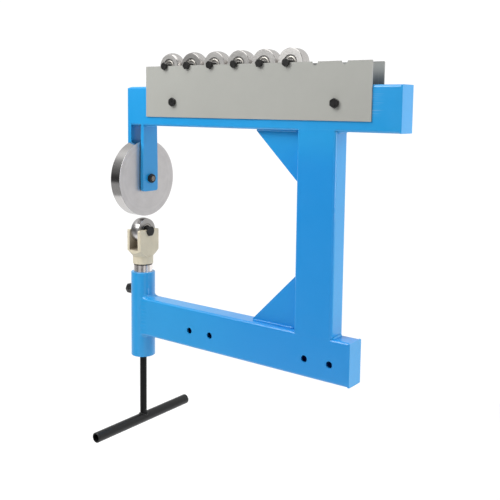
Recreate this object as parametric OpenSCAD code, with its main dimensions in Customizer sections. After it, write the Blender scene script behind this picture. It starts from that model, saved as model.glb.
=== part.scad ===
// English wheel: a welded C-frame of rectangular tube that carries a large upper
// wheel in a fork, a crowned lower anvil in a yoke on a screw-driven ram, a
// T-handle under the guide tube, and a rack on the top beam with six spare anvils.
//
// Frame: +X runs from the wheels back along the beams, +Y is the far side, +Z is up.
// The origin is the middle of the rear pair of mounting holes in the lower beam.
// All the z values named below are counted from the underside of the top beam, and
// all the x values from the front end of the top beam; place() moves them home.

/* [C-frame] */
// Length of the top beam, front plate and end cap included
beam_l = 785; // [760:1:820]
// Height of the rectangular tube
tube_h = 100; // [90:1:110]
// Width of the rectangular tube
tube_w = 50; // [46:1:50]
// Wall of the rectangular tube
wall = 4; // [3:0.5:6]
// Outer corner radius of the rectangular tube
corner_r = 6; // [4.5:0.5:8]
// Front face of the column
column_x = 533; // [500:1:560]
// Clear height between the two beams
opening = 457.5; // [450:0.5:465]
// Rear end of the lower beam
lower_end_x = 680.5; // [670:0.5:700]
// Thickness of the two gusset plates
gusset_t = 10; // [6:1:14]
// Legs of the upper gusset, along the beam and down the column
upper_leg = [126, 122];
// Legs of the lower gusset, along the beam and up the column
lower_leg = [130, 130];

/* [Mounting holes] */
// Radius of the four mounting holes through the lower beam
mount_r = 8; // [6:0.5:9]
// Distance between the two holes of a pair
mount_pitch = 66; // [50:1:80]
// Middle of the front pair
mount_front_x = 250.5; // [230:0.5:280]
// Middle of the rear pair
mount_rear_x = 596; // [580:0.5:610]
// Depth of the holes under the top face of the lower beam
mount_drop = 57.5; // [50:0.5:65]

/* [Fork and upper wheel] */
// Thickness of the front fork plate, which also closes the beam
front_plate_t = 12; // [8:1:12]
// Thickness of the rear fork plate
rear_plate_t = 10; // [8:1:12]
// Clear gap of the fork
fork_gap = 36; // [36:1:38]
// How far the fork plates reach below the beam
fork_drop = 172; // [165:1:180]
// Diameter of the upper wheel
wheel_d = 200; // [195:1:201]
// Width of the upper wheel
wheel_w = 32; // [30:1:32]
// Height of the wheel's axle under the beam
wheel_drop = 138.5; // [136:0.5:140]
// Radius of the wheel's axle
wheel_axle_r = 8.5; // [8:0.25:8.5]

/* [Guide tube, ram and screw] */
// Outer diameter of the guide tube
guide_od = 64; // [62:1:66]
// Diameter of the ram
ram_d = 50; // [50:1:50]
// Depth of the guide tube's top end
guide_top = 390.5; // [388:0.5:392]
// Length of the guide tube
guide_l = 228.5; // [225:0.5:235]
// Radius of the handle's rod
rod_r = 9; // [8.5:0.1:9]
// Radius of the adjusting screw
screw_r = 10; // [9.5:0.1:10]
// Depth of the handle bar's axis
bar_drop = 799; // [780:1:810]
// Length of the handle bar
bar_l = 343; // [300:1:380]
// Outer radius of the handle bar
bar_r = 13.3; // [12.5:0.1:14]
// Depth of the lock bolt
lock_drop = 444.5; // [440:0.5:450]

/* [Yoke and working anvil] */
// Diameter of every anvil
anvil_d = 68; // [64:1:68]
// Width of every anvil
anvil_w = 29; // [27:0.5:29]
// Depth of the working anvil's axle
anvil_drop = 279.5; // [279.5:0.1:283]
// Radius of the anvil axles
axle_r = 7.5; // [7:0.1:7.5]
// Gap between the yoke's ears
ear_gap = 30; // [30:0.5:32]
// Thickness of each ear
ear_t = 10; // [8:0.5:12]
// Width of the ears
ear_w = 71; // [64:1:74]
// Depth of the ears' top edge
ear_top = 276; // [274:0.5:276]
// Radius of the yoke's round neck
neck_r = 27; // [26.5:0.5:28]
// Crown radius of the working anvil
work_crown = 40; // [30:1:400]

/* [Anvil rack] */
// Front end of the rack plates
rack_x = 70; // [66:1:74]
// Length of the rack plates
rack_l = 647; // [640:1:660]
// Height of the rack plates' lower edge over the underside of the beam
rack_z0 = 23.3; // [20:0.1:28]
// Height of the rack plates' upper edge
rack_z1 = 150.3; // [149.5:0.1:151]
// Thickness of the rack plates
rack_t = 3; // [2:0.5:4]
// Distance between two notches
notch_pitch = 73.5; // [72:0.5:75]
// Number of notches
notch_n = 8; // [8:1:8]
// Height of the stored axles
store_z = 150; // [149.8:0.1:150.2]
// The two bolts that hold the rack
rack_bolt_x = [163, 630];
// Height of those bolts
rack_bolt_z = 61; // [50:1:80]
// Crown radii of the six spare anvils, front to rear
crowns = [26, 34, 48, 75, 130, 400];

/* [Hidden] */
$fn = 96;
eps = 0.01;
run = 0.05;                                   // radial running clearance
fork_x = front_plate_t + fork_gap/2;          // wheel, ram and screw line
org = [mount_rear_x, 0, -(opening + mount_drop)];
guide_bot = guide_top + guide_l;
wheel_brg = [17, 40, 12];                     // bore, outside, width
anvil_brg = [15, 35, 11];
nip = anvil_drop - anvil_d/2 - (wheel_drop + wheel_d/2);
notch_x0 = rack_x + rack_l/2 - notch_pitch*(notch_n - 1)/2;
head_gap = 0.5;
reach = tube_w/2 + rack_t + head_gap;         // half the grip of an anvil axle
yoke_grip = ear_gap/2 + ear_t + 0.3;          // half the grip of the working axle
neck_bot = 368;
neck_top = 347.5;
gap_bot = 328.8;
spigot_top = 342;
ram_bot = 560;

blue = [0.16, 0.52, 0.86];
grey = [0.70, 0.70, 0.68];
black = [0.07, 0.07, 0.075];
steel = [0.72, 0.71, 0.71];
bright = [0.80, 0.80, 0.82];
cream = [0.76, 0.74, 0.64];
bronze = [0.72, 0.55, 0.30];

module place() { translate([-org[0], -org[1], -org[2]]) children(); }
// turn a solid that was built along +Z so that it lies along +X or +Y
module along_x() { rotate([0, 90, 0]) children(); }
module along_y() { rotate([-90, 0, 0]) children(); }

// rectangle with true round corners, centred
module rrect(w, h, r) {
  square([w - 2*r, h], center = true);
  square([w, h - 2*r], center = true);
  for (i = [-1, 1], j = [-1, 1]) translate([i*(w/2 - r), j*(h/2 - r)]) circle(r);
}
// section of the rectangular tube: the long side along the first axis
module rhs() {
  difference() {
    rrect(tube_h, tube_w, corner_r);
    rrect(tube_h - 2*wall, tube_w - 2*wall, max(corner_r - wall, 0.8));
  }
}
// a length of the tube lying along X, from x0 to x1, with its underside at z0
module beam(x0, x1, z0) {
  translate([x0, 0, z0 + tube_h/2]) along_x() linear_extrude(x1 - x0) rhs();
}
// a plate that closes a beam's end; its corners are nearly square
module end_plate(x0, x1, z0) {
  translate([x0, 0, z0 + tube_h/2]) along_x() linear_extrude(x1 - x0) rrect(tube_h, tube_w, 1.5);
}
// hexagon prism along +Z: af is the size across the flats, both ends chamfered
module hex(af, h, turn = 0) {
  intersection() {
    rotate([0, 0, turn]) cylinder(h = h, r = af/2/cos(30), $fn = 6);
    rotate_extrude() polygon([[0, 0], [af/2*0.97, 0], [af/2*1.16, af*0.055], [af/2*1.16, h - af*0.055], [af/2*0.97, h], [0, h]]);
  }
}
// a plain shaft along +Z with a small chamfer at its top end
module shaft(r, h, c = 1) {
  rotate_extrude() polygon([[0, 0], [r, 0], [r, h - c], [r - c, h], [0, h]]);
}
// a sealed ball bearing along +Z: both rings stand proud of the seals
module bearing(b) {
  ri = b[0]/2; ro = b[1]/2; w = b[2];
  a = ri + (ro - ri)*0.26; c = ro - (ro - ri)*0.24;
  rotate_extrude() polygon([
    [ri, 0.5], [ri + 0.5, 0], [a, 0], [a, 0.9], [c, 0.9], [c, 0], [ro - 0.7, 0], [ro, 0.7],
    [ro, w - 0.7], [ro - 0.7, w], [c, w], [c, w - 0.9], [a, w - 0.9], [a, w], [ri + 0.5, w], [ri, w - 0.5]]);
}
// outline of a crowned roller: the radius at a distance t from its middle
function crown(t, r, rc) = r - (rc - sqrt(rc*rc - t*t));
// a roller along +Z, centred, bored for a bearing at each end
module roller(d, w, rc, b, c = 1.2, n = 20) {
  h = w/2 - c;
  re = crown(h, d/2, rc);
  seat = w/2 - 0.5 - b[2];
  rim = [for (i = [0:n]) let (t = -h + 2*h*i/n) [crown(t, d/2, rc), t]];
  rotate_extrude() polygon(concat(
    [[b[1]/2, -w/2], [b[1]/2 + 1.2, -w/2], [b[1]/2 + 2.2, -w/2 + 0], [re - c, -w/2]],
    rim,
    [[re - c, w/2], [b[1]/2, w/2], [b[1]/2, seat], [b[1]/2 - 3.5, seat], [b[1]/2 - 3.5, -seat], [b[1]/2, -seat]]));
}
module bearing_pair(w, b) {
  translate([0, 0, -w/2 + 0.5]) bearing(b);
  translate([0, 0, w/2 - 0.5 - b[2]]) bearing(b);
}
// axle bolt along +Z, centred on its grip: head at the bottom, thread at the top; g is half the grip
module axle_bolt(af, head_h, turn, g = reach) {
  translate([0, 0, -g - head_h]) hex(af, head_h, turn);
  translate([0, 0, -g - eps]) cylinder(h = 2*g - 0.4 + eps, r = axle_r - run/2);
  translate([0, 0, g - 0.5]) shaft(6, 12.5);
}
module axle_nut(turn, g = reach) {
  translate([0, 0, g]) difference() {
    hex(19, 10, turn);
    translate([0, 0, -1]) cylinder(h = 12, r = 6.05);
  }
}

// ---- C-frame ----
module top_beam() color(blue) place() difference() {
  beam(front_plate_t, beam_l - wall, 0);
  for (x = rack_bolt_x) translate([x, -tube_w, rack_bolt_z]) along_y() cylinder(h = 2*tube_w, r = 6.5);
}
module top_beam_cap() color(blue) place() end_plate(beam_l - wall, beam_l, 0);
module column() color(blue) place()
  translate([column_x + tube_h/2, 0, -opening]) linear_extrude(opening) rhs();
module lower_beam() color(blue) place() difference() {
  beam(fork_x, lower_end_x - wall, -opening - tube_h);
  translate([fork_x, 0, -opening - tube_h - 1]) cylinder(h = tube_h + 2, r = guide_od/2);
  for (m = [mount_front_x, mount_rear_x], s = [-1, 1])
    translate([m + s*mount_pitch/2, -tube_w, -opening - mount_drop]) along_y() cylinder(h = 2*tube_w, r = mount_r);
}
module lower_beam_cap() color(blue) place() end_plate(lower_end_x - wall, lower_end_x, -opening - tube_h);
module gusset(a, b) {
  translate([0, gusset_t/2, 0]) rotate([90, 0, 0]) linear_extrude(gusset_t)
    polygon([[-a, 0], [-12, 0], [0, -12], [0, -b], [-4, -b], [-a, -4]]);
}
module upper_gusset() color(blue) place() translate([column_x, 0, 0]) gusset(upper_leg[0], upper_leg[1]);
module lower_gusset() color(blue) place() translate([column_x, 0, -opening]) mirror([0, 0, 1]) gusset(lower_leg[0], lower_leg[1]);

// ---- fork ----
// a fork plate in the YZ plane: top half width, bottom half width, top z, bottom z
module fork_plate(t, wt, wb, zt, zb, r = 7) {
  rotate([90, 0, 90]) linear_extrude(t) difference() {
    union() {
      polygon([[-wt, zt], [-wt, min(zt, 0)], [-wb, zb + 60], [-wb, zb + r], [-wb + r, zb], [wb - r, zb], [wb, zb + r], [wb, zb + 60], [wt, min(zt, 0)], [wt, zt]]);
      for (s = [-1, 1]) translate([s*(wb - r), zb + r]) circle(r);
    }
    translate([0, -wheel_drop]) circle(wheel_axle_r + 0.1);
  }
}
// the front plate also closes the beam: its top corners follow the tube and its top edge slopes to the front
module front_fork_plate() color(blue) place() intersection() {
  fork_plate(front_plate_t, tube_w/2, tube_w/2, tube_h, -fork_drop);
  translate([-1, 0, -150]) rotate([90, 0, 90]) linear_extrude(front_plate_t + 2) rrect(tube_w, 2*(tube_h + 150), corner_r);
  translate([0, tube_w, 0]) rotate([90, 0, 0]) linear_extrude(2*tube_w)
    polygon([[0, -fork_drop - 1], [front_plate_t, -fork_drop - 1], [front_plate_t, tube_h], [0, tube_h - 3.5]]);
}
module rear_fork_plate() color(blue) place()
  translate([front_plate_t + fork_gap, 0, 0]) fork_plate(rear_plate_t, 24.5, 27, 0, -fork_drop);

// ---- upper wheel ----
module upper_wheel() color(steel) place()
  translate([fork_x, 0, -wheel_drop]) along_x() rotate_extrude() polygon([
    [wheel_brg[1]/2, -wheel_w/2], [wheel_d/2 - 0.8, -wheel_w/2], [wheel_d/2 - 0.25, -wheel_w/2 + 0.2], [wheel_d/2, -wheel_w/2 + 0.8],
    [wheel_d/2, wheel_w/2 - 0.8], [wheel_d/2 - 0.25, wheel_w/2 - 0.2], [wheel_d/2 - 0.8, wheel_w/2], [wheel_brg[1]/2, wheel_w/2],
    [wheel_brg[1]/2, wheel_w/2 - 0.5 - wheel_brg[2]], [wheel_brg[1]/2 - 4, wheel_w/2 - 0.5 - wheel_brg[2]],
    [wheel_brg[1]/2 - 4, -wheel_w/2 + 0.5 + wheel_brg[2]], [wheel_brg[1]/2, -wheel_w/2 + 0.5 + wheel_brg[2]]]);
module upper_wheel_bearings() color(bright) place()
  translate([fork_x, 0, -wheel_drop]) along_x() bearing_pair(wheel_w, wheel_brg);
module upper_axle() color(black) place() translate([0, 0, -wheel_drop]) along_x() union() {
  translate([0, 0, -10]) hex(24, 10, 0);
  translate([0, 0, -eps]) cylinder(h = front_plate_t + fork_gap + rear_plate_t + eps, r = wheel_axle_r - run/2);
  translate([0, 0, front_plate_t + fork_gap + rear_plate_t - 0.5]) shaft(7, 10.6, 0.9);
}
module upper_axle_nut() color(black) place()
  translate([front_plate_t + fork_gap + rear_plate_t, 0, -wheel_drop]) along_x() difference() {
    hex(21, 8.5, 0);
    translate([0, 0, -1]) cylinder(h = 11, r = 7.05);
  }
// rings that keep the wheel's bearings off the fork plates
module upper_axle_spacers() color(steel) place()
  for (s = [0, 1]) translate([s ? front_plate_t + fork_gap - (fork_gap - wheel_w)/2 - 0.4 : front_plate_t, 0, -wheel_drop])
    along_x() difference() {
      cylinder(h = (fork_gap - wheel_w)/2 + 0.4, r = 11.5);
      translate([0, 0, -1]) cylinder(h = 8, r = wheel_axle_r + 0.05);
    }

// ---- guide tube and what it holds ----
module guide_tube() color(blue) place() difference() {
  translate([fork_x, 0, -guide_bot]) rotate_extrude() polygon([
    [ram_d/2 + run, 0], [guide_od/2 - 0.8, 0], [guide_od/2, 0.8], [guide_od/2, guide_l - 1.2], [guide_od/2 - 1.2, guide_l], [ram_d/2 + run, guide_l]]);
  translate([fork_x - guide_od/2 - 5, 0, -lock_drop]) along_x() cylinder(h = guide_od/2, r = 8.05);
}
// disc welded into the bottom of the tube: the screw's shank turns in it
module tube_plug() color(blue) place() translate([fork_x, 0, -guide_bot]) difference() {
  cylinder(h = 14, r = ram_d/2 + 0.02);
  translate([0, 0, -1]) cylinder(h = 16, r = rod_r + run);
}
module thrust_bearing() color(bright) place() translate([fork_x, 0, -guide_bot + 14]) rotate_extrude()
  polygon([[rod_r + 0.1, 0], [17.5, 0], [17.5, 2.8], [16.6, 3.1], [16.6, 5.8], [17.5, 6.1], [17.5, 8.9], [rod_r + 0.1, 8.9]]);
module lock_nut() color(black) place() difference() {
  translate([fork_x - guide_od/2 - 11, 0, -lock_drop]) along_x() hex(24, 18, 30);
  translate([fork_x, 0, -lock_drop - 30]) cylinder(h = 60, r = guide_od/2);
  translate([fork_x - guide_od/2 - 16, 0, -lock_drop]) along_x() cylinder(h = 32, r = 8.05);
}
// the lock bolt: its plain nose runs in the ram's keyway
module lock_bolt() color(black) place() translate([fork_x - guide_od/2 - 11.4, 0, -lock_drop]) along_x() union() {
  translate([0, 0, -11]) hex(24, 11, 30);
  translate([0, 0, -eps]) cylinder(h = 17.4, r = 8);
  translate([0, 0, 17]) shaft(5, 5.9, 0.6);
}

// ---- ram ----
module ram() color(bright) place() difference() {
  translate([fork_x, 0, -ram_bot]) rotate_extrude() polygon([
    [11.5, 0], [ram_d/2 - 1, 0], [ram_d/2, 1], [ram_d/2, ram_bot - neck_bot], [18, ram_bot - neck_bot],
    [18, ram_bot - spigot_top - 1], [17, ram_bot - spigot_top - 0.3], [0, ram_bot - spigot_top - 0.3], [0, 162], [11.5, 162]]);
  translate([fork_x, 0, -ram_bot - 1]) cylinder(h = 31, r = 20);
  // keyway for the lock bolt's nose
  translate([fork_x - ram_d/2 - 5, -5.3, -lock_drop - 10]) cube([10, 10.6, 32.5]);
  for (z = [-10, 22.5]) translate([fork_x - ram_d/2 - 5, 0, -lock_drop + z]) along_x() cylinder(h = 10, r = 5.3);
}
module ram_nut() color(bronze) place() translate([fork_x, 0, -ram_bot]) difference() {
  cylinder(h = 30, r = 20);
  translate([0, 0, -1]) cylinder(h = 32, r = screw_r + run);
}
// cast yoke: two slotted ears over a round neck
module yoke() color(cream) place() translate([fork_x, 0, 0]) difference() {
  union() {
    intersection() {
      translate([0, 0, -352]) linear_extrude(352 - ear_top) rrect(ear_gap + 2*ear_t, ear_w, 3.5);
      rotate_extrude() polygon([[0, -352], [neck_r, -352], [neck_r, -neck_top], [44.5, -328], [44.5, -ear_top], [0, -ear_top]]);
      translate([-60, 0, -ear_top - 60]) rotate([90, 0, 90]) linear_extrude(120) rrect(ear_w, 120, 4);
    }
    translate([0, 0, -neck_bot]) cylinder(h = neck_bot - neck_top, r = neck_r);
  }
  translate([0, 0, -gap_bot + 50]) rotate([90, 0, 0]) translate([0, 0, -60]) linear_extrude(120) rrect(ear_gap, 100, 3);
  translate([-60, 0, -anvil_drop]) along_x() cylinder(h = 120, r = axle_r + run);
  translate([-60, -axle_r - run, -anvil_drop]) cube([120, 2*(axle_r + run), 40]);
  translate([0, 0, -neck_bot - 1]) cylinder(h = neck_bot - spigot_top + 1, r = 18);
}
module on_yoke() place() translate([fork_x, 0, -anvil_drop]) children();
// the yoke is narrower than the rack, so the working axle's grip is shorter and its head is flat
module working_axle() color(black) on_yoke() rotate([0, -90, 0]) axle_bolt(24, 4.5, 30, yoke_grip);
module working_axle_nut() color(black) on_yoke() rotate([0, -90, 0]) axle_nut(0, yoke_grip);
module working_anvil() color(steel) on_yoke() along_x() roller(anvil_d, anvil_w, work_crown, anvil_brg);
module working_anvil_bearings() color(bright) on_yoke() along_x() bearing_pair(anvil_w, anvil_brg);

// ---- screw and handle ----
module adjusting_screw() color(black) place() translate([fork_x, 0, 0]) rotate_extrude() polygon([
  [0, -bar_drop - 1], [rod_r, -bar_drop - 1], [rod_r, -guide_bot + 23], [15, -guide_bot + 23], [15, -guide_bot + 29],
  [screw_r, -guide_bot + 29], [screw_r, -427], [screw_r - 2, -425], [0, -425]]);
module handle_bar() color(black) place() translate([fork_x, 0, -bar_drop]) difference() {
  translate([0, -bar_l/2, 0]) along_y() rotate_extrude() polygon([
    [bar_r - 2.9, 0], [bar_r - 0.8, 0], [bar_r, 0.8], [bar_r, bar_l - 0.8], [bar_r - 0.8, bar_l], [bar_r - 2.9, bar_l]]);
  cylinder(h = 40, r = rod_r + 0.05);
}

// ---- rack ----
module rack_plate() {
  rotate([90, 0, 0]) linear_extrude(rack_t) difference() {
    translate([rack_x + rack_l/2, (rack_z0 + rack_z1)/2]) rrect(rack_l, rack_z1 - rack_z0, 2);
    for (i = [0:notch_n - 1]) translate([notch_x0 + i*notch_pitch, store_z]) {
      circle(axle_r + 0.3);
      translate([-axle_r - 0.3, 0]) square([2*axle_r + 0.6, 20]);
    }
    for (x = rack_bolt_x) translate([x, rack_bolt_z]) circle(6.5);
  }
}
module rack_near_plate() color(grey) place() translate([0, -tube_w/2, 0]) rack_plate();
module rack_far_plate() color(grey) place() translate([0, tube_w/2 + rack_t, 0]) rack_plate();
module at_rack_bolts() place() for (x = rack_bolt_x) translate([x, 0, rack_bolt_z]) along_y() children();
module rack_bolts() color(black) at_rack_bolts() union() {
  translate([0, 0, -tube_w/2 - rack_t - 7.5]) hex(19, 7.5, 30);
  translate([0, 0, -tube_w/2 - rack_t - eps]) shaft(6, tube_w + 2*rack_t + 16, 1);
}
module rack_washers() color(steel) at_rack_bolts() translate([0, 0, tube_w/2 + rack_t]) difference() {
  cylinder(h = 2.5, r = 12);
  translate([0, 0, -1]) cylinder(h = 5, r = 6.5);
}
module rack_nuts() color(black) at_rack_bolts() translate([0, 0, tube_w/2 + rack_t + 2.5]) difference() {
  hex(19, 10, 0);
  translate([0, 0, -1]) cylinder(h = 12, r = 6.05);
}

// ---- the six spare anvils, each on its own axle ----
module at_notch(i) place() translate([notch_x0 + (i - 1)*notch_pitch, 0, store_z]) along_y() children();
module spare_anvil(i) color(steel) at_notch(i) roller(anvil_d, anvil_w, crowns[i - 1], anvil_brg);
module spare_bearings(i) color(bright) at_notch(i) bearing_pair(anvil_w, anvil_brg);
module spare_axle(i) color(black) at_notch(i) axle_bolt(17, 6.5, 11 + 23*i);
module spare_nut(i) color(black) at_notch(i) axle_nut(7*i);

top_beam();
column();
lower_beam();
front_fork_plate();
rear_fork_plate();
top_beam_cap();
lower_beam_cap();
upper_gusset();
lower_gusset();
guide_tube();
tube_plug();
thrust_bearing();
lock_nut();
lock_bolt();
upper_wheel();
upper_wheel_bearings();
upper_axle();
upper_axle_nut();
upper_axle_spacers();
ram();
ram_nut();
yoke();
working_axle();
working_axle_nut();
working_anvil();
working_anvil_bearings();
adjusting_screw();
handle_bar();
rack_near_plate();
rack_far_plate();
rack_bolts();
rack_nuts();
rack_washers();
for (i = [1:6]) {
  spare_anvil(i);
  spare_bearings(i);
  spare_axle(i);
  spare_nut(i);
}
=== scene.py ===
import math
import random

import bpy
from mathutils import Matrix, Vector


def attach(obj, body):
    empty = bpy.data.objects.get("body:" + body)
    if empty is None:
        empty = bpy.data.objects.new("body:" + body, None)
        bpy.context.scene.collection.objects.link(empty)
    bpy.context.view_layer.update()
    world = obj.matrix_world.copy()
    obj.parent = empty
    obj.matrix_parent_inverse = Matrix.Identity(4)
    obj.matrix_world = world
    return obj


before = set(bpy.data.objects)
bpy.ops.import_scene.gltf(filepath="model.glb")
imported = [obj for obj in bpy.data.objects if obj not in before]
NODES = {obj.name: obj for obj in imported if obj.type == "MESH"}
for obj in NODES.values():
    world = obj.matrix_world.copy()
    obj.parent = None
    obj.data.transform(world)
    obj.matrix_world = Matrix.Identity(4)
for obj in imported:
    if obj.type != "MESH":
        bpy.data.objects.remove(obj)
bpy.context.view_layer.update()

random.seed(7)


def P(x, y, z):
    """Millimetres counted from the front end and the underside of the top beam, to metres in the row frame."""
    return Vector(((x - 596.0) / 1000, y / 1000, (z + 515.0) / 1000))


# ------------------------------------------------------------------ node helpers

class Net:
    """A material's node tree with short calls."""

    def __init__(self, name):
        self.mat = bpy.data.materials.new(name)
        self.mat.use_nodes = True
        self.t = self.mat.node_tree
        self.t.nodes.clear()
        self.out = self.t.nodes.new("ShaderNodeOutputMaterial")
        self.bsdf = self.t.nodes.new("ShaderNodeBsdfPrincipled")
        self.t.links.new(self.bsdf.outputs[0], self.out.inputs[0])
        self.obj = self.new("ShaderNodeTexCoord").outputs["Object"]

    def new(self, kind, **props):
        n = self.t.nodes.new(kind)
        for k, v in props.items():
            setattr(n, k, v)
        return n

    def put(self, sock, value):
        if isinstance(value, bpy.types.NodeSocket):
            self.t.links.new(value, sock)
        else:
            sock.default_value = value

    def math(self, op, a, b=0.0, c=0.0, clamp=False):
        n = self.new("ShaderNodeMath", operation=op, use_clamp=clamp)
        for i, v in enumerate((a, b, c)):
            self.put(n.inputs[i], v)
        return n.outputs[0]

    def vec(self, op, a, b=(0, 0, 0)):
        n = self.new("ShaderNodeVectorMath", operation=op)
        self.put(n.inputs[0], a)
        self.put(n.inputs[1], b)
        return n.outputs["Value"] if op in ("LENGTH", "DOT_PRODUCT", "DISTANCE") else n.outputs["Vector"]

    def xyz(self, v):
        n = self.new("ShaderNodeSeparateXYZ")
        self.put(n.inputs[0], v)
        return n.outputs[0], n.outputs[1], n.outputs[2]

    def join(self, x, y, z):
        n = self.new("ShaderNodeCombineXYZ")
        for i, v in enumerate((x, y, z)):
            self.put(n.inputs[i], v)
        return n.outputs[0]

    def noise(self, v, scale, detail=3.0, rough=0.5, dims="3D"):
        n = self.new("ShaderNodeTexNoise", noise_dimensions=dims)
        if dims == "1D":
            self.put(n.inputs["W"], v)
        else:
            self.put(n.inputs["Vector"], v)
        n.inputs["Scale"].default_value = scale
        n.inputs["Detail"].default_value = detail
        n.inputs["Roughness"].default_value = rough
        return n.outputs["Fac"]

    def range(self, v, a, b, c, d, smooth=False):
        n = self.new("ShaderNodeMapRange", clamp=True)
        if smooth:
            n.interpolation_type = "SMOOTHSTEP"
        self.put(n.inputs[0], v)
        for i, x in enumerate((a, b, c, d)):
            self.put(n.inputs[i + 1], x)
        return n.outputs[0]

    def mix(self, f, a, b):
        n = self.new("ShaderNodeMix", data_type="RGBA")
        self.put(n.inputs["Factor"], f)
        for s, v in ((n.inputs[6], a), (n.inputs[7], b)):
            self.put(s, (*v, 1.0) if isinstance(v, tuple) and len(v) == 3 else v)
        return n.outputs[2]

    def bump(self, h, strength, dist, normal=None):
        n = self.new("ShaderNodeBump")
        n.inputs["Strength"].default_value = strength
        n.inputs["Distance"].default_value = dist
        self.put(n.inputs["Height"], h)
        if normal is not None:
            self.put(n.inputs["Normal"], normal)
        return n.outputs[0]

    def set(self, **kw):
        names = {"color": "Base Color", "rough": "Roughness", "metal": "Metallic", "normal": "Normal", "ior": "IOR",
                 "spec": "Specular IOR Level", "coat": "Coat Weight", "coat_rough": "Coat Roughness", "coat_normal": "Coat Normal"}
        for k, v in kw.items():
            self.put(self.bsdf.inputs[names[k]], (*v, 1.0) if isinstance(v, tuple) and len(v) == 3 else v)
        return self.mat


def painted(name, c1, c2, rough=(0.30, 0.42), peel=0.10, scale=260.0, coat=0.0, spec=0.5, scratch=0.35, channel_shade=False, rub=None, coat_shade=0.0):
    """Powder coat: orange peel, a slow drift of colour, faint rub marks. channel_shade: painted shade that darkens the
    far plate's face down the inside of the rack's channel.
    coat_shade: how far the blue is painted towards a deeper blue round the column's front and sides and the lower
    beam's rear half, painted shade for the dimmer light there."""
    n = Net(name)
    drift = n.noise(n.obj, 4.0, 3.0, 0.55)
    mottle = n.noise(n.obj, 60.0, 4.0, 0.6)
    f = n.range(n.math("ADD", n.math("MULTIPLY", drift, 0.75), n.math("MULTIPLY", mottle, 0.25)), 0.32, 0.68, 0.0, 1.0)
    color = n.mix(f, c1, c2)
    x, y, z = n.xyz(n.obj)
    # painted shade: the blue is mixed towards a deeper blue round the column and the lower beam's rear half, standing
    # for the dimmer light there; the top beam is left out
    if coat_shade:
        coat_shade_mask = n.math("MULTIPLY", n.range(x, P(120, 0, 0).x, P(520, 0, 0).x, 0.0, coat_shade, True), n.range(z, P(0, 0, -90).z, P(0, 0, -5).z, 1.0, 0.0, True))
        coat_shade_mask = n.math("MULTIPLY", coat_shade_mask, n.range(x, P(679, 0, 0).x, P(680, 0, 0).x, 1.0, 0.0))
        before = n.range(x, P(632, 0, 0).x, P(632.6, 0, 0).x, 1.0, 0.0)
        coat_shade_mask = n.math("MULTIPLY", coat_shade_mask, n.math("MAXIMUM", before, n.range(z, P(0, 0, -457.4).z, P(0, 0, -456.4).z, 1.0, 0.0)))
        color = n.mix(coat_shade_mask, color, (0.0105, 0.240, 0.660))
    line = n.noise(n.join(n.math("MULTIPLY", x, 18.0), n.math("MULTIPLY", y, 320.0), n.math("MULTIPLY", z, 420.0)), 1.0, 5.0, 0.7)
    marks = n.range(line, 0.66, 0.76, 0.0, scratch)
    # painted shade: the far plate's inner face is painted darker towards the bottom of the rack's channel, where little
    # light gets in
    if channel_shade:
        low = n.range(z, P(0, 0, 98).z, P(0, 0, 146).z, 0.82, 0.19, True)
        inside = n.range(y, P(0, 25.6, 0).y, P(0, 26.2, 0).y, 1.0, 0.0)
        streaks = n.range(n.noise(n.join(n.math("MULTIPLY", x, 260.0), 0.0, n.math("MULTIPLY", z, 9.0)), 1.0, 3.0, 0.6), 0.3, 0.7, 0.88, 1.0)
        color = n.mix(n.math("MULTIPLY", n.math("MULTIPLY", low, inside), streaks), color, (0.030, 0.036, 0.044))
    if rub:
        x0, x1, z0, z1 = P(rub[0], 0, 0).x, P(rub[1], 0, 0).x, P(0, 0, rub[2]).z, P(0, 0, rub[3]).z
        m1 = n.math("MULTIPLY", n.range(x, x0, x0 + 0.006, 0.0, 1.0, True), n.range(x, x1 - 0.022, x1, 1.0, 0.0, True))
        m2 = n.math("MULTIPLY", n.range(z, z0, z0 + 0.01, 0.0, 1.0, True), n.range(z, z1 - 0.02, z1, 1.0, 0.0, True))
        worn = n.range(n.noise(n.join(n.math("MULTIPLY", x, 14.0), 0.0, n.math("MULTIPLY", z, 330.0)), 1.0, 2.0, 0.5), 0.50, 0.68, 0.0, 0.42)
        worn = n.math("MULTIPLY", worn, n.math("MULTIPLY", m1, m2))
        color = n.mix(worn, color, (0.30, 0.52, 0.78))
    base = n.range(n.noise(n.obj, 22.0, 4.0, 0.6), 0.3, 0.7, rough[0], rough[1])
    r = n.math("ADD", base, n.math("MULTIPLY", marks, 0.18), clamp=True)
    peelh = n.noise(n.obj, scale, 2.0, 0.5)
    fine = n.noise(n.obj, scale * 5.5, 2.0, 0.5)
    h = n.math("ADD", peelh, n.math("MULTIPLY", fine, 0.15))
    b = n.bump(h, peel, 0.0006)
    b = n.bump(marks, 0.03, 0.0002, b)
    return n.set(color=color, rough=r, normal=b, spec=spec, coat=coat, coat_rough=0.08)


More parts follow.
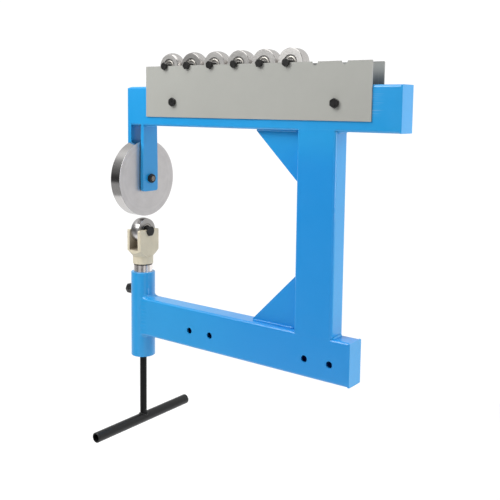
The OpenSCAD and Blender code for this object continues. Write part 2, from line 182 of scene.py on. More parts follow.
def turned(name, axis, centre, pitch=0.0, face=((0.60, 0.59, 0.585), 0.34), rim=((0.66, 0.655, 0.65), 0.16), groove=0.12, blotch=0.05, lines=(), face_shades=None, bevel_shade=None):
    """Turned steel. Rings run round the axis on the faces, and fine grinding lines run round the rim.
    axis is 0 or 1 (X or Y); pitch repeats the centre along X, for a row of rollers."""
    n = Net(name)
    x, y, z = n.xyz(n.obj)
    cx = n.math("SUBTRACT", x, centre[0])
    if pitch:
        cx = n.math("SUBTRACT", n.math("WRAP", cx, pitch / 2, -pitch / 2), 0.0)
    cy = n.math("SUBTRACT", y, centre[1])
    cz = n.math("SUBTRACT", z, centre[2])
    along, a, b = (cx, cy, cz) if axis == 0 else (cy, cx, cz)
    radius = n.vec("LENGTH", n.join(a, b, 0.0))
    nx, ny, nz = n.xyz(n.new("ShaderNodeTexCoord").outputs["Normal"])
    flat = n.range(n.math("ABSOLUTE", nx if axis == 0 else ny), 0.72, 0.86, 0.0, 1.0, True)
    angle = n.math("ARCTAN2", b, a)
    rings = n.noise(n.math("MULTIPLY", radius, 1.0), 2600.0, 2.0, 0.6, "1D")
    wide = n.noise(radius, 160.0, 2.0, 0.5, "1D")
    cuts = n.noise(along, 3400.0, 3.0, 0.6, "1D")
    streak = n.noise(n.join(n.math("MULTIPLY", angle, 1.2), n.math("MULTIPLY", radius, 420.0), n.math("MULTIPLY", along, 900.0)), 1.0, 4.0, 0.6)
    patch = n.noise(n.obj, 38.0, 4.0, 0.6)
    fc, rc = face[0], rim[0]
    low = tuple(v * (1 - blotch) for v in fc)
    high = tuple(min(1.0, v * (1 + blotch)) for v in fc)
    fcol = n.mix(n.range(n.math("ADD", n.math("MULTIPLY", wide, 0.25), n.math("MULTIPLY", patch, 0.75)), 0.35, 0.65, 0.0, 1.0), low, high)
    rcol = n.mix(n.range(streak, 0.35, 0.65, 0.0, 1.0), tuple(v * 0.95 for v in rc), rc)
    color = n.mix(flat, rcol, fcol)
    # painted light and shade: each stored anvil's faces are made darker or lighter, standing for how the light falls on
    # that anvil
    if face_shades:
        face_shade = face_shades[0]
        for k, (was, now) in enumerate(zip(face_shades, face_shades[1:])):
            past = n.math("GREATER_THAN", x, centre[0] + (k + 0.5) * pitch)
            face_shade = n.math("ADD", face_shade, n.math("MULTIPLY", past, now - was))
        face_shade = n.math("ADD", 1.0, n.math("MULTIPLY", flat, n.math("SUBTRACT", face_shade, 1.0)))
        color = n.vec("MULTIPLY", color, n.join(face_shade, face_shade, face_shade))
    na = n.math("ABSOLUTE", nx if axis == 0 else ny)
    # painted shade: the chamfer between face and rim is painted darker, which dims the bright reflection it would catch
    if bevel_shade:
        bevel_shade_mask = n.math("MULTIPLY", n.range(na, 0.22, 0.40, 0.0, 1.0, True), n.math("SUBTRACT", 1.0, flat))
        color = n.mix(bevel_shade_mask, color, tuple(v * bevel_shade for v in rc))
    # painted shade: a thin dark ring on the faces at each listed radius, standing for the shadow in the chamfer round
    # the bearing seat
    for at in lines:
        away = n.math("ABSOLUTE", n.math("SUBTRACT", radius, at / 1000))
        ring_shade = n.math("MULTIPLY", n.range(away, 0.0004, 0.0011, 1.0, 0.0, True), flat)
        color = n.mix(n.math("MULTIPLY", ring_shade, 0.85), color, tuple(v * 0.12 for v in fc))
    rr = n.math("ADD", n.math("MULTIPLY", flat, face[1] - rim[1]), n.math("ADD", rim[1] - 0.03, n.math("MULTIPLY", streak, 0.07)), clamp=True)
    if bevel_shade:
        rr = n.math("ADD", rr, n.math("MULTIPLY", bevel_shade_mask, 0.22), clamp=True)
    h = n.math("ADD", n.math("MULTIPLY", n.math("MULTIPLY", rings, flat), 1.0), n.math("MULTIPLY", n.math("MULTIPLY", cuts, n.math("SUBTRACT", 1.0, flat)), 0.35))
    bmp = n.bump(h, groove, 0.00012)
    return n.set(color=color, rough=rr, normal=bmp, metal=1.0)


def plain_steel(name, c, rough=(0.2, 0.32), scale=900.0, bump=0.06, axis=None, dark=0.9, core=None, seam=None):
    """Ground steel; with an axis, the grinding lines run round it. core = (centre, radius): blackened nearer to an X
    axis than that, partly grease and partly painted shade.
    seam = (top, bottom): heights between which the surface is painted black, a painted shadow in the gap under the
    yoke's neck."""
    n = Net(name)
    x, y, z = n.xyz(n.obj)
    if axis == 2:
        v = n.join(n.math("MULTIPLY", x, 30.0), n.math("MULTIPLY", y, 30.0), n.math("MULTIPLY", z, 2400.0))
        g = n.noise(v, 1.0, 3.0, 0.6)
    else:
        g = n.noise(n.obj, scale, 3.0, 0.6)
    patch = n.noise(n.obj, 50.0, 4.0, 0.6)
    color = n.mix(n.range(patch, 0.3, 0.7, 0.0, 1.0), tuple(v * dark for v in c), c)
    r = n.range(n.math("ADD", n.math("MULTIPLY", g, 0.5), n.math("MULTIPLY", patch, 0.5)), 0.3, 0.7, rough[0], rough[1])
    # painted shadow: a black band on the ram just under the yoke's neck, standing for the shadow in the gap there
    if seam:
        seam_shadow = n.math("MULTIPLY", n.range(z, seam[1] - 0.0008, seam[1], 0.0, 0.9), n.range(z, seam[0], seam[0] + 0.0005, 1.0, 0.0))
        color = n.mix(seam_shadow, color, (0.02, 0.019, 0.018))
    # partly grease, partly painted shade: the inner ring of the working anvil's bearings is painted near black, as it
    # sits in the axle's shadow
    if core:
        away = n.vec("LENGTH", n.join(n.math("SUBTRACT", y, core[0][1]), n.math("SUBTRACT", z, core[0][2]), 0.0))
        color = n.mix(n.range(away, core[1] - 0.0002, core[1] + 0.0002, 0.9, 0.0), color, (0.02, 0.02, 0.02))
    return n.set(color=color, rough=r, normal=n.bump(g, bump, 0.0001), metal=1.0)


def oxide(name, c=(0.013, 0.0128, 0.0125), rough=(0.24, 0.38), bare=None):
    """Black-oxide steel: fine grain, slightly worn. bare = (axis, limit): past it the steel is bare, as on a sawn stud end."""
    n = Net(name)
    grain = n.noise(n.obj, 1100.0, 3.0, 0.6)
    patch = n.noise(n.obj, 70.0, 4.0, 0.65)
    color = n.mix(n.range(patch, 0.35, 0.7, 0.0, 1.0), c, tuple(v * 1.9 + 0.004 for v in c))
    r = n.range(patch, 0.3, 0.7, rough[0], rough[1])
    metal = 0.0
    if bare:
        v = n.xyz(n.obj)[bare[0]]
        f = n.range(v, bare[1] - 0.0002, bare[1] + 0.0002, 0.0, 1.0)
        color = n.mix(f, color, (0.24, 0.215, 0.19))
        metal = f
    return n.set(color=color, rough=r, normal=n.bump(grain, 0.08, 0.0002), metal=metal, spec=0.22)


def casting(name, c1, c2):
    """Sand casting under a thin cream coat: coarse grain, soft lumps, and painted shade low in the gap between the
    ears.
    """
    n = Net(name)
    grain = n.noise(n.obj, 620.0, 4.0, 0.65)
    lump = n.noise(n.obj, 90.0, 3.0, 0.5)
    patch = n.noise(n.obj, 34.0, 4.0, 0.6)
    color = n.mix(n.range(patch, 0.3, 0.7, 0.0, 1.0), c1, c2)
    pits = n.range(grain, 0.30, 0.42, 1.0, 0.0)
    color = n.mix(n.math("MULTIPLY", pits, 0.35), color, tuple(v * 0.62 for v in c1))
    x, y, z = n.xyz(n.obj)
    # painted shade: the faces inside the gap between the ears are painted darker brown towards the bottom, where the
    # shade is deepest
    gap = n.range(n.math("ABSOLUTE", n.math("SUBTRACT", x, P(30, 0, 0).x)), 0.0151, 0.0155, 1.0, 0.0)
    gap = n.math("MULTIPLY", gap, n.range(z, P(0, 0, -329.6).z, P(0, 0, -329.0).z, 0.0, 1.0))
    gap = n.math("MULTIPLY", gap, n.range(z, P(0, 0, -328).z, P(0, 0, -282).z, 0.66, 0.10, True))
    color = n.mix(n.math("MULTIPLY", gap, n.range(patch, 0.3, 0.7, 0.85, 1.0)), color, (0.110, 0.072, 0.048))
    h = n.math("ADD", n.math("MULTIPLY", grain, 0.6), n.math("MULTIPLY", lump, 1.4))
    return n.set(color=color, rough=n.range(grain, 0.3, 0.7, 0.5, 0.68), normal=n.bump(h, 0.22, 0.0006), spec=0.4)


# the blue coats carry painted shade round the column and the lower beam's rear half
BLUE = painted("blue_powder_coat", (0.012, 0.290, 0.650), (0.017, 0.313, 0.695), rough=(0.285, 0.37), peel=0.06, coat=0.36, spec=0.5, scratch=0.0, coat_shade=0.64)
BLUE_RUB = painted("blue_powder_coat_rubbed", (0.012, 0.290, 0.650), (0.017, 0.313, 0.695), rough=(0.285, 0.37), peel=0.06, coat=0.36, spec=0.5, scratch=0.0, rub=(712, 748, 32, 92), coat_shade=0.64)
BLUE_WELD = painted("blue_weld", (0.012, 0.288, 0.645), (0.017, 0.311, 0.690), rough=(0.29, 0.38), peel=0.08, coat=0.36, spec=0.5, scratch=0.0, coat_shade=0.64)
GREY = painted("rack_grey_coat", (0.350, 0.352, 0.327), (0.374, 0.376, 0.348), rough=(0.40, 0.52), peel=0.06, scale=420.0, spec=0.45, scratch=0.5)
# the far plate carries painted shade down the inside of the rack's channel
GREY_FAR = painted("rack_grey_coat_far", (0.350, 0.352, 0.327), (0.374, 0.376, 0.348), rough=(0.40, 0.52), peel=0.06, scale=420.0, spec=0.45, scratch=0.5, channel_shade=True)
CREAM = casting("yoke_cream_cast", (0.590, 0.535, 0.408), (0.655, 0.595, 0.458))
OXIDE = oxide("black_oxide")
BAR = painted("handle_black", (0.007, 0.007, 0.0075), (0.012, 0.012, 0.0125), rough=(0.30, 0.42), peel=0.10, scale=300.0, spec=0.35)
ROD = painted("screw_shank_black", (0.005, 0.005, 0.0055), (0.009, 0.009, 0.0095), rough=(0.34, 0.46), peel=0.08, scale=420.0, spec=0.14, scratch=0.2)
AXLE_END = oxide("axle_black_bare_end", bare=(0, P(67.8, 0, 0).x))
WHEEL = turned("wheel_turned_steel", 0, P(30, 0, -138.5), face=((0.57, 0.553, 0.553), 0.40), rim=((0.51, 0.498, 0.49), 0.15), groove=0.16, bevel_shade=0.50)
WORK = turned("working_anvil_polished", 0, P(30, 0, -279.5), face=((0.40, 0.388, 0.376), 0.30), rim=((0.56, 0.545, 0.54), 0.31), groove=0.07, lines=(18.3,))
# the stored anvils' faces carry painted light and shade, one factor per anvil
SPARE = turned("spare_anvils_polished", 1, P(136.25, 0, 150), pitch=0.0735, face=((0.64, 0.625, 0.605), 0.46), rim=((0.60, 0.58, 0.562), 0.265), groove=0.07, lines=(18.3,),
               face_shades=(0.96, 0.58, 0.86, 0.76, 0.89, 1.10))
RING = plain_steel("bearing_ring_steel", (0.62, 0.60, 0.57), (0.22, 0.34))
RING_WORK = plain_steel("bearing_ring_greased_shaded", (0.55, 0.53, 0.50), (0.24, 0.36), core=(P(30, 0, -279.5), 0.0112))
SHIELD = plain_steel("bearing_shield_steel", (0.66, 0.63, 0.58), (0.28, 0.42), bump=0.04)
RAM = plain_steel("ram_ground_steel", (0.90, 0.85, 0.83), (0.215, 0.27), axis=2, bump=0.05, seam=(P(0, 0, -368).z, P(0, 0, -368 - 3.2).z))
ZINC = plain_steel("zinc_plated_steel", (0.60, 0.60, 0.58), (0.28, 0.42))
BRONZE = plain_steel("turned_bronze", (0.62, 0.42, 0.19), (0.24, 0.36))
# black seal rubber on the working anvil's bearings; the same black also serves as painted shade in the shields' gaps
RUBBER_AND_GAP_SHADE = oxide("seal_rubber_and_gap_shade", (0.010, 0.010, 0.010), (0.5, 0.6))


def paint(node, mat):
    o = NODES[node]
    if not o.material_slots:
        o.data.materials.append(mat)
    for s in o.material_slots:
        s.material = mat


for node in ("top_beam", "top_beam_cap", "column", "lower_beam", "lower_beam_cap", "upper_gusset", "lower_gusset",
             "front_fork_plate", "rear_fork_plate", "guide_tube", "tube_plug"):
    paint(node, BLUE)
paint("top_beam", BLUE_RUB)
paint("rack_near_plate", GREY)
paint("rack_far_plate", GREY_FAR)
for node in ("lock_nut", "lock_bolt", "upper_axle_nut", "working_axle", "working_axle_nut", "rack_bolts", "rack_nuts"):
    paint(node, OXIDE)
paint("adjusting_screw", ROD)
paint("handle_bar", BAR)
paint("upper_axle", AXLE_END)
paint("upper_wheel", WHEEL)
paint("working_anvil", WORK)
paint("yoke", CREAM)
paint("ram", RAM)
paint("ram_nut", BRONZE)
for node in ("upper_axle_spacers", "rack_washers"):
    paint(node, ZINC)
for node in ("upper_wheel_bearings", "thrust_bearing"):
    paint(node, RING)
paint("working_anvil_bearings", RING_WORK)
for k in range(1, 7):
    paint(f"spare_anvil_{k}", SPARE)
    paint(f"spare_bearings_{k}", RING)
    paint(f"spare_axle_{k}", OXIDE)
    paint(f"spare_nut_{k}", OXIDE)


# ------------------------------------------------------------------ pieces that the solids leave to the looks

def piece(name, verts, faces, mat, body, slot, smooth=True):
    me = bpy.data.meshes.new(name)
    me.from_pydata([tuple(v) for v in verts], [], faces)
    me.validate()
    me.update()
    for p in me.polygons:
        p.use_smooth = smooth
    me.materials.append(mat)
    o = bpy.data.objects.new(name, me)
    bpy.context.scene.collection.objects.link(o)
    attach(o, body)
    return o


def bead(name, paths, rad, mat, body, slot, ripple=3.4, amp=0.16, seg=12, step=0.7):
    """Weld beads: a rippled round cord laid along each path. A path is (points in mm, closed)."""
    verts, faces = [], []
    rnd = random.Random(len(name) * 31 + len(paths))
    for pts, closed in paths:
        pts = [Vector(p) for p in pts]
        if closed:
            pts = pts + [pts[0]]
        cum = [0.0]
        for a, b in zip(pts, pts[1:]):
            cum.append(cum[-1] + (b - a).length)
        total = cum[-1]
        count = max(6, int(total / step))
        samples = []
        j = 0
        for i in range(count if closed else count + 1):
            s = total * i / count
            while j < len(cum) - 2 and cum[j + 1] < s:
                j += 1
            f = (s - cum[j]) / max(1e-9, cum[j + 1] - cum[j])
            samples.append((pts[j].lerp(pts[j + 1], f), s))
        n = len(samples)
        tang = []
        for i in range(n):
            a = samples[(i - 1) % n][0] if (closed or i) else samples[i][0]
            b = samples[(i + 1) % n][0] if (closed or i < n - 1) else samples[i][0]
            tang.append((b - a).normalized())
        ref = Vector((0, 0, 1)) if abs(tang[0].z) < 0.9 else Vector((1, 0, 0))
        nrm = (ref - tang[0] * ref.dot(tang[0])).normalized()
        start = len(verts)
        phase, width = rnd.random() * 3, 1.0
        for i, (c, s) in enumerate(samples):
            t = tang[i]
            nrm = (nrm - t * nrm.dot(t)).normalized()
            bi = t.cross(nrm)
            wave = abs(math.sin(math.pi * (s + phase) / ripple))
            slow = 0.05 * math.sin(s * 0.11 + phase) + 0.04 * math.sin(s * 0.37 + 2 * phase)
            end = 1.0
            if not closed:
                e = min(s, total - s)
                end = min(1.0, 0.35 + 0.65 * math.sqrt(max(0.0, e) / (rad * 1.2))) if e < rad * 1.2 else 1.0
            r = rad * (1 + amp * (wave - 0.6) + slow) * end
            for k in range(seg):
                th = 2 * math.pi * k / seg
                q = c + nrm * (math.cos(th) * r) + bi * (math.sin(th) * r) + t * (0.45 * math.cos(2 * th))
                verts.append(P(*q))
        m = n if closed else n - 1
        for i in range(m):
            for k in range(seg):
                a = start + i * seg + k
                b = start + i * seg + (k + 1) % seg
                c2 = start + ((i + 1) % n) * seg + (k + 1) % seg
                d = start + ((i + 1) % n) * seg + k
                faces.append((a, b, c2, d))
        if not closed:
            faces.append(tuple(start + k for k in reversed(range(seg))))
            faces.append(tuple(start + (n - 1) * seg + k for k in range(seg)))
    return piece(name, verts, faces, mat, body, slot)


def prism(section, x0, x1, bulge=0.0, cells=24, taper=3.0):
    """A strip along X with the given YZ section (mm), its ends drawn in. Returns verts and faces."""
    verts, faces = [], []
    n = len(section)
    cy = sum(p[0] for p in section) / n
    cz = sum(p[1] for p in section) / n
    xs = [x0 + (x1 - x0) * i / cells for i in range(cells + 1)]
    for x in xs:
        e = min(x - x0, x1 - x)
        f = min(1.0, 0.2 + 0.8 * math.sqrt(max(0.0, e) / taper)) if e < taper else 1.0
        w = 1 + bulge * 0.5 * math.sin(x * 0.9)
        for y, z in section:
            verts.append(P(x, cy + (y - cy) * f * w, cz + (z - cz) * f * w))
    for i in range(cells):
        for k in range(n):
            faces.append((i * n + k, i * n + (k + 1) % n, (i + 1) * n + (k + 1) % n, (i + 1) * n + k))
    faces.append(tuple(reversed(range(n))))
    faces.append(tuple(cells * n + k for k in range(n)))
    return verts, faces


def corner_section(sy, zf, up):
    """Section of the flush weld that fills the tube's rounded corner: sy is the side, zf the flat's height, up the way into the beam."""
    pts = []
    for i in range(9):
        t = math.radians(90 * i / 8)
        pts.append((sy * (19 + 6.02 * math.cos(t)), zf + up * (6 - 6.02 * math.sin(t))))
    pts.append((sy * 21.0, zf - up * 0.6))
    pts.append((sy * 25.12, zf - up * 0.6))
    pts.append((sy * 25.12, zf + up * 3.0))
    return pts


def merge(parts):
    verts, faces = [], []
    for v, f in parts:
        k = len(verts)
        verts += v
        faces += [tuple(i + k for i in g) for g in f]
    return verts, faces


# ground-flush welds where the column meets the beams, and where the rear fork plate meets the top beam
flush = []
for sy in (-1, 1):
    flush.append(prism(corner_section(sy, 0.0, 1), 534.5, 632.0, 0.01))
    flush.append(prism(corner_section(sy, -457.5, -1), 534.5, 632.0, 0.01))
    flush.append(prism(corner_section(sy, 0.0, 1), 48.3, 57.7, 0.0, 8, 1.0))
piece("weld_flush_strips", *merge(flush), BLUE_WELD, "frame", "blue_paint", smooth=False)


def line(a, b, n=2):
    a, b = Vector(a), Vector(b)
    return [a.lerp(b, i / (n - 1)) for i in range(n)]


# fillet welds on the frame
fillets = []
for s in (-1, 1):
    y = s * 6.2
    fillets.append((line((409, y, -1.4), (521, y, -1.4)), False))
    fillets.append((line((531.6, y, -12), (531.6, y, -119)), False))
    fillets.append((line((406, y, -456.1), (521, y, -456.1)), False))
    fillets.append((line((531.6, y, -445), (531.6, y, -330)), False))
    fillets.append((line((531.8, s * 8, -1.2), (531.8, s * 20, -1.2)), False))
    fillets.append((line((531.8, s * 8, -456.3), (531.8, s * 20, -456.3)), False))
fillets.append((line((47.0, -21, -1.0), (47.0, 21, -1.0)), False))
fillets.append((line((59.0, -21, -1.0), (59.0, 21, -1.0)), False))
fillets.append((line((13.0, -19, -1.0), (13.0, 19, -1.0)), False))
bead("weld_fillets_frame", fillets, 2.6, BLUE_WELD, "frame", "blue_paint")
rear = [(line((634.0, -19, z), (634.0, 19, z)), False) for z in (-0.8, -456.7)]
bead("weld_fillets_rear", rear, 3.6, BLUE_WELD, "frame", "blue_paint", ripple=4.2, amp=0.07)

# where the lower beam is coped to the guide tube: a smooth fillet weld, dressed before painting
def fillet_ring(w=9.0, steps=12):
    loop = []   # (y, z, outward normal of the beam's section)
    hy, hz, r, zc = 25.0, 50.0, 6.0, -507.5
    edges = [((19, 50), (0, 1), (-19, 50)), ((-25, 44), (-1, 0), (-25, -44)), ((-19, -50), (0, -1), (19, -50)), ((25, -44), (1, 0), (25, 44))]
    centres = [(-19, 44), (-19, -44), (19, -44), (19, 44)]
    for e, (a, nrm, b) in enumerate(edges):
        length = math.hypot(b[0] - a[0], b[1] - a[1])
        k = max(8, int(length / 1.6))
        for i in range(k):
            f = i / k
            loop.append((a[0] + (b[0] - a[0]) * f, a[1] + (b[1] - a[1]) * f, nrm))
        cy, cz = centres[e]
        t0 = math.atan2(nrm[1], nrm[0])
        for i in range(7):
            t = t0 + math.radians(90) * i / 7
            loop.append((cy + r * math.cos(t), cz + r * math.sin(t), (math.cos(t), math.sin(t))))
    rnd = random.Random(5)
    phase = [rnd.random() * 6.283 for _ in range(3)]
    verts, faces = [], []
    n = len(loop)
    pts = [Vector((30 + math.sqrt(32.0 ** 2 - y * y), y, zc + z)) for y, z, _ in loop]
    for i, (y, z, nb) in enumerate(loop):
        p = pts[i]
        d = (pts[(i + 1) % n] - pts[i - 1]).normalized()
        nt = Vector((p.x - 30, p.y, 0)).normalized()
        out = Vector((0, nb[0], nb[1]))
        t1 = nt.cross(d).normalized()
        if t1.dot(out) < 0:
            t1 = -t1
        s = i / n * 2 * math.pi
        wave = 1 + 0.05 * math.sin(9 * s + phase[0]) + 0.04 * math.sin(23 * s + phase[1])
        ww = w * wave
        wide = wave * (w + 13.0 * min(1.0, max(0.0, (abs(y) - 10) / 14)))
        q = p + t1 * ww
        radial = Vector((q.x - 30, q.y, 0))
        q = Vector((30, 0, q.z)) + radial.normalized() * 32.0 - nt * 0.06
        a = p + Vector((wide, 0, 0)) - out * 0.06
        for k in range(steps + 1):
            t = k / steps
            m = a * (1 - t) ** 2 + p * (2 * t * (1 - t)) + q * t ** 2
            verts.append(P(*(m + (out + nt) * (0.10 * math.sin(math.pi * t) * math.sin(31 * s + phase[2])))))
        verts.append(P(*(p - out * 0.8 - nt * 0.8)))
    m = steps + 2
    for i in range(n):
        j = (i + 1) % n
        for k in range(m):
            faces.append((i * m + k, i * m + (k + 1) % m, j * m + (k + 1) % m, j * m + k))
    return verts, faces


piece("weld_guide_tube", *fillet_ring(), BLUE_WELD, "frame", "blue_paint")
ring = [(30 + 25.4 * math.cos(t), 25.4 * math.sin(t), -618.9) for t in [2 * math.pi * i / 72 for i in range(72)]]
bead("weld_tube_plug", [(ring, True)], 1.6, BLUE_WELD, "frame", "blue_paint")
ring = []
for i in range(60):
    t = 2 * math.pi * i / 60
    y, z = 13.4 * math.cos(t), 13.4 * math.sin(t)
    ring.append((30 - math.sqrt(32.4 ** 2 - y * y), y, -444.5 + z))
bead("weld_lock_nut", [(ring, True)], 1.7, BLUE_WELD, "frame", "blue_paint", ripple=2.6)
# rod to handle bar
ring = []
for i in range(60):
    t = 2 * math.pi * i / 60
    x, y = 10.2 * math.cos(t), 10.2 * math.sin(t)
    ring.append((30 + x, y, -799 + math.sqrt(13.6 ** 2 - x * x)))
bead("weld_handle", [(ring, True)], 2.3, BAR, "handle", "black_steel", ripple=3.0)


# threads on the stud ends that stand out of their nuts
def thread(name, ends, mat, body, slot):
    """ends: (base point in mm, direction, radius, length, pitch)."""
    verts, faces = [], []
    for base, d, r, length, pitch in ends:
        base, d = Vector(base), Vector(d).normalized()
        u = d.orthogonal().normalized()
        v = d.cross(u)
        turns = length / pitch
        n = max(12, int(turns * 36))
        start = len(verts)
        for i in range(n + 1):
            t = i / n
            a = 2 * math.pi * turns * t
            fade = min(1.0, 6 * t, 6 * (1 - t))
            radial = u * math.cos(a) + v * math.sin(a)
            mid = base + d * (length * t)
            w = pitch * 0.42
            for dr, da in ((-0.15, -w), (0.42 * fade, -w * 0.15), (0.42 * fade, w * 0.15), (-0.15, w)):
                verts.append(P(*(mid + radial * (r + dr) + d * (da * 0.9))))
        for i in range(n):
            for k in range(4):
                a0 = start + i * 4
                faces.append((a0 + k, a0 + (k + 1) % 4, a0 + 4 + (k + 1) % 4, a0 + 4 + k))
        faces.append(tuple(start + k for k in (3, 2, 1, 0)))
        faces.append(tuple(start + n * 4 + k for k in range(4)))
    return piece(name, verts, faces, mat, body, slot, smooth=False)


thread("thread_rack_bolts", [((x, 40.8, 61), (0, 1, 0), 5.85, 2.2, 1.4) for x in (163, 630)], OXIDE, "frame", "black_steel")
thread("thread_working_axle", [((30 - 35.4, 0, -279.5), (-1, 0, 0), 5.8, 1.2, 1.0)], OXIDE, "ram", "black_steel")
for k in range(1, 7):
    thread(f"thread_spare_axle_{k}", [((136.25 + 73.5 * (k - 1), 38.6, 150), (0, 1, 0), 5.8, 1.2, 1.0)], OXIDE, f"spare_axle_{k}", "black_steel")


# shields of the sealed bearings: a pressed steel washer between the rings; thin black rings at its inner and outer
# edges are painted shade standing for the dark gaps there
def lathe(profile, centre, axis, seg=72):
    """profile: (radius, distance along the axis) in mm, a closed outline."""
    verts, faces = [], []
    centre = Vector(centre)
    n = len(profile)
    for i in range(seg):
        t = 2 * math.pi * i / seg
        c, s = math.cos(t), math.sin(t)
        for r, h in profile:
            q = (h, r * c, r * s) if axis == 0 else (r * c, h, r * s)
            verts.append(P(*(centre + Vector(q))))
    for i in range(seg):
        for k in range(n):
            a, b = i * n + k, i * n + (k + 1) % n
            c2, d = ((i + 1) % seg) * n + (k + 1) % n, ((i + 1) % seg) * n + k
            faces.append((a, b, c2, d))
    return verts, faces


def shields(name, centre, axis, width, brg, body, cover=None):
    ri, ro = brg[0] / 2, brg[1] / 2
    a = ri + (ro - ri) * 0.26
    c = ro - (ro - ri) * 0.24
    steel, dark = [], []
    for s in (-1, 1):
        f = width / 2 - 0.5   # the bearing's outer face
        prof = [(a + 0.75, f - 0.75), (a + 0.95, f - 0.35), (a + 1.9, f - 0.22), ((a + c) / 2, f - 0.18), (c - 1.5, f - 0.24),
                (c - 0.55, f - 0.30), (c - 0.12, f - 0.55), (c - 0.12, f - 0.85), (a + 0.75, f - 0.85)]
        steel.append(lathe([(r, s * h) for r, h in prof], centre, axis))
        # painted shade: thin black rings at the shield's inner and outer edges stand for the dark gaps between shield
        # and rings
        lip = [(a + 0.02, f - 0.86), (a + 0.02, f - 0.62), (a + 0.7, f - 0.62), (a + 0.7, f - 0.86)]
        dark.append(lathe([(r, s * h) for r, h in lip], centre, axis))
        lip = [(c - 0.11, f - 0.86), (c - 0.11, f - 0.55), (c - 0.01, f - 0.55), (c - 0.01, f - 0.86)]
        dark.append(lathe([(r, s * h) for r, h in lip], centre, axis))
    piece(f"shields_{name}", *merge(steel), cover or SHIELD, body, "bearing_steel")
    piece(f"seal_gap_shade_{name}", *merge(dark), RUBBER_AND_GAP_SHADE, body, "bearing_steel")


shields("upper_wheel", (30, 0, -138.5), 0, 32, (17, 40), "upper_wheel")
shields("working_anvil", (30, 0, -279.5), 0, 29, (15, 35), "working_anvil", RUBBER_AND_GAP_SHADE)
for k in range(1, 7):
    shields(f"spare_{k}", (136.25 + 73.5 * (k - 1), 0, 150), 1, 29, (15, 35), f"spare_anvil_{k}")


# ------------------------------------------------------------------ floor, light, camera

def floor_mat():
    """Pale studio floor that runs into the white sweep: it glows more towards its rim."""
    n = Net("floor_pale")
    f = n.noise(n.obj, 1.2, 3.0, 0.5)
    x, y, z = n.xyz(n.obj)
    radius = n.vec("LENGTH", n.join(x, y, 0.0))
    n.put(n.bsdf.inputs["Emission Color"], (1.0, 1.0, 1.0, 1.0))
    n.put(n.bsdf.inputs["Emission Strength"], n.range(radius, 0.2, 1.6, 0.12, 0.29, True))
    return n.set(color=n.mix(f, (0.82, 0.82, 0.82), (0.84, 0.84, 0.84)), rough=0.9, spec=0.1)


me = bpy.data.meshes.new("floor")
FZ = -0.85
R = 2.2
ringv = [(R * math.cos(2 * math.pi * i / 96), R * math.sin(2 * math.pi * i / 96), FZ) for i in range(96)]
me.from_pydata(ringv, [], [tuple(range(96))])
me.materials.append(floor_mat())
floor = bpy.data.objects.new("floor", me)
bpy.context.scene.collection.objects.link(floor)

scene = bpy.context.scene
scene.view_settings.view_transform = "Standard"
scene.view_settings.look = "None"
world = bpy.data.worlds.new("studio")
scene.world = world
world.use_nodes = True
wt = world.node_tree
wt.nodes.clear()


def wn(kind, **props):
    n = wt.nodes.new(kind)
    for k, v in props.items():
        setattr(n, k, v)
    return n


def wmath(op, a, b=0.0, clamp=False):
    n = wn("ShaderNodeMath", operation=op, use_clamp=clamp)
    for i, v in enumerate((a, b)):
        if isinstance(v, bpy.types.NodeSocket):
            wt.links.new(v, n.inputs[i])
        else:
            n.inputs[i].default_value = v
    return n.outputs[0]


def wrange(v, a, b, c, d):
    n = wn("ShaderNodeMapRange", clamp=True, interpolation_type="SMOOTHSTEP")
    wt.links.new(v, n.inputs[0])
    for i, x in enumerate((a, b, c, d)):
        n.inputs[i + 1].default_value = x
    return n.outputs[0]


sep = wn("ShaderNodeSeparateXYZ")
wt.links.new(wn("ShaderNodeTexCoord").outputs["Generated"], sep.inputs[0])
dx, dy, dz = sep.outputs
# a white sweep behind the machine, a dim room in front of it, and a soft glow high up
front = wrange(dy, 0.30, -0.30, 0.0, 1.0)
high = wmath("MULTIPLY", wrange(dx, -0.75, -0.45, 1.0, 0.0), wrange(dz, 0.50, 0.70, 0.0, 2.0))
upper = wmath("MULTIPLY", wrange(dz, 0.20, 0.75, 0.0, 1.0), wmath("ADD", 1.0, high))
middle = wrange(dz, 0.0, 0.24, 0.0, 1.0)
lower = wmath("MULTIPLY", wrange(dz, -0.24, -0.11, 1.0, 0.0), wrange(dx, -0.72, -0.46, 1.0, 0.22))
side = wrange(dx, -0.8, 0.8, 1.0, 0.55)
frontlight = wmath("ADD", wmath("ADD", 0.055, wmath("MULTIPLY", middle, 0.12)), wmath("ADD", wmath("MULTIPLY", lower, 0.42), wmath("MULTIPLY", upper, wmath("MULTIPLY", side, 0.38))))
azimuth = wmath("ARCTAN2", dy, dx)


def panel(a0, a1, w, strength):
    """A tall soft panel between two azimuths in degrees."""
    r = math.radians
    lo = wrange(azimuth, r(a0 - w), r(a0 + w), 0.0, 1.0)
    hi = wrange(azimuth, r(a1 - w), r(a1 + w), 1.0, 0.0)
    tall = wmath("MULTIPLY", wrange(dz, -0.45, -0.25, 0.0, 1.0), wrange(dz, 0.45, 0.70, 1.0, 0.0))
    return wmath("MULTIPLY", wmath("MULTIPLY", lo, hi), wmath("MULTIPLY", tall, strength))


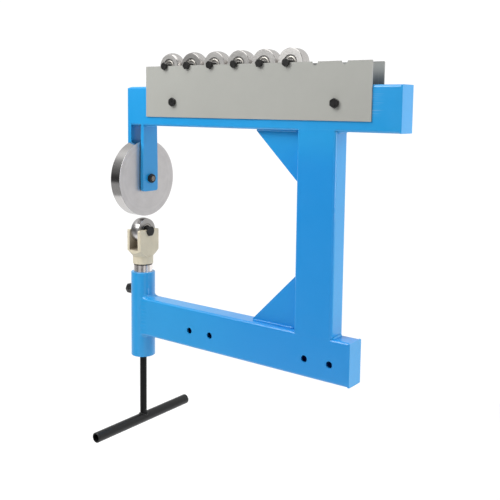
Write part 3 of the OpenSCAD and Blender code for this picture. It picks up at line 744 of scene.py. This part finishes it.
panels = wmath("ADD", panel(-106, -70, 4, 0.42), panel(-40, -18, 3, 0.64))
frontlight = wmath("ADD", frontlight, panels)
right = wmath("SUBTRACT", wrange(dx, -0.55, 0.35, 0.88, 1.02), wrange(dx, 0.56, 0.84, 0.0, 0.55))
back = wmath("MULTIPLY", wrange(dz, -0.30, 0.60, 1.10, 0.85), right)
level = wmath("ADD", wmath("MULTIPLY", frontlight, front), wmath("MULTIPLY", back, wmath("SUBTRACT", 1.0, front)))
bg = wn("ShaderNodeBackground")
wt.links.new(level, bg.inputs["Strength"])
bg.inputs["Color"].default_value = (1, 1, 1, 1)
seen = wn("ShaderNodeBackground")
seen.inputs["Color"].default_value = (1, 1, 1, 1)
seen.inputs["Strength"].default_value = 1.05
mixw = wn("ShaderNodeMixShader")
wt.links.new(wn("ShaderNodeLightPath").outputs["Is Camera Ray"], mixw.inputs[0])
wt.links.new(bg.outputs[0], mixw.inputs[1])
wt.links.new(seen.outputs[0], mixw.inputs[2])
wt.links.new(mixw.outputs[0], wn("ShaderNodeOutputWorld").inputs[0])


def area(name, loc, target, size, power, color=(1, 1, 1)):
    d = bpy.data.lights.new(name, "AREA")
    d.shape = "RECTANGLE"
    d.size, d.size_y = size
    d.energy = power
    d.color = color
    o = bpy.data.objects.new(name, d)
    scene.collection.objects.link(o)
    o.location = loc
    o.rotation_euler = (Vector(target) - Vector(loc)).to_track_quat("-Z", "Y").to_euler()
    return o


area("key", (-1.10, -1.62, 1.98), (-0.35, 0, 0.35), (1.4, 1.4), 45)
area("fill", (-0.90, -1.00, 1.15), (-0.35, 0, 0.35), (0.7, 0.7), 3.2).visible_glossy = False
area("top", (-0.3, -0.4, 3.0), (-0.2, 0, 0.2), (2.4, 1.8), 22)
area("right", (1.45, 0.15, 0.55), (0.0, 0, 0.25), (0.6, 0.9), 12.5)

cam = bpy.data.cameras.new("camera")
cam_o = bpy.data.objects.new("camera", cam)
scene.collection.objects.link(cam_o)
RIGHT = Vector((0.7993241093820129, 0.6007670694352173, 0.012645016523221073))
UP = Vector((-0.0737630807603168, 0.07721444356031357, 0.9942821217453415))
BACK = Vector((0.5963555785581274, -0.7956864068135712, 0.10603379619116414))
m = Matrix((RIGHT, UP, BACK)).transposed().to_4x4()
m.translation = (0.8725031126391216, -1.4445965292497553, 0.5621678884423529)
cam_o.matrix_world = m
cam.sensor_fit = "HORIZONTAL"
cam.sensor_width = 36.0
cam.lens = 54.94242303693506
cam.shift_y = -0.12
cam.clip_start = 0.05
cam.clip_end = 60.0
scene.camera = cam_o
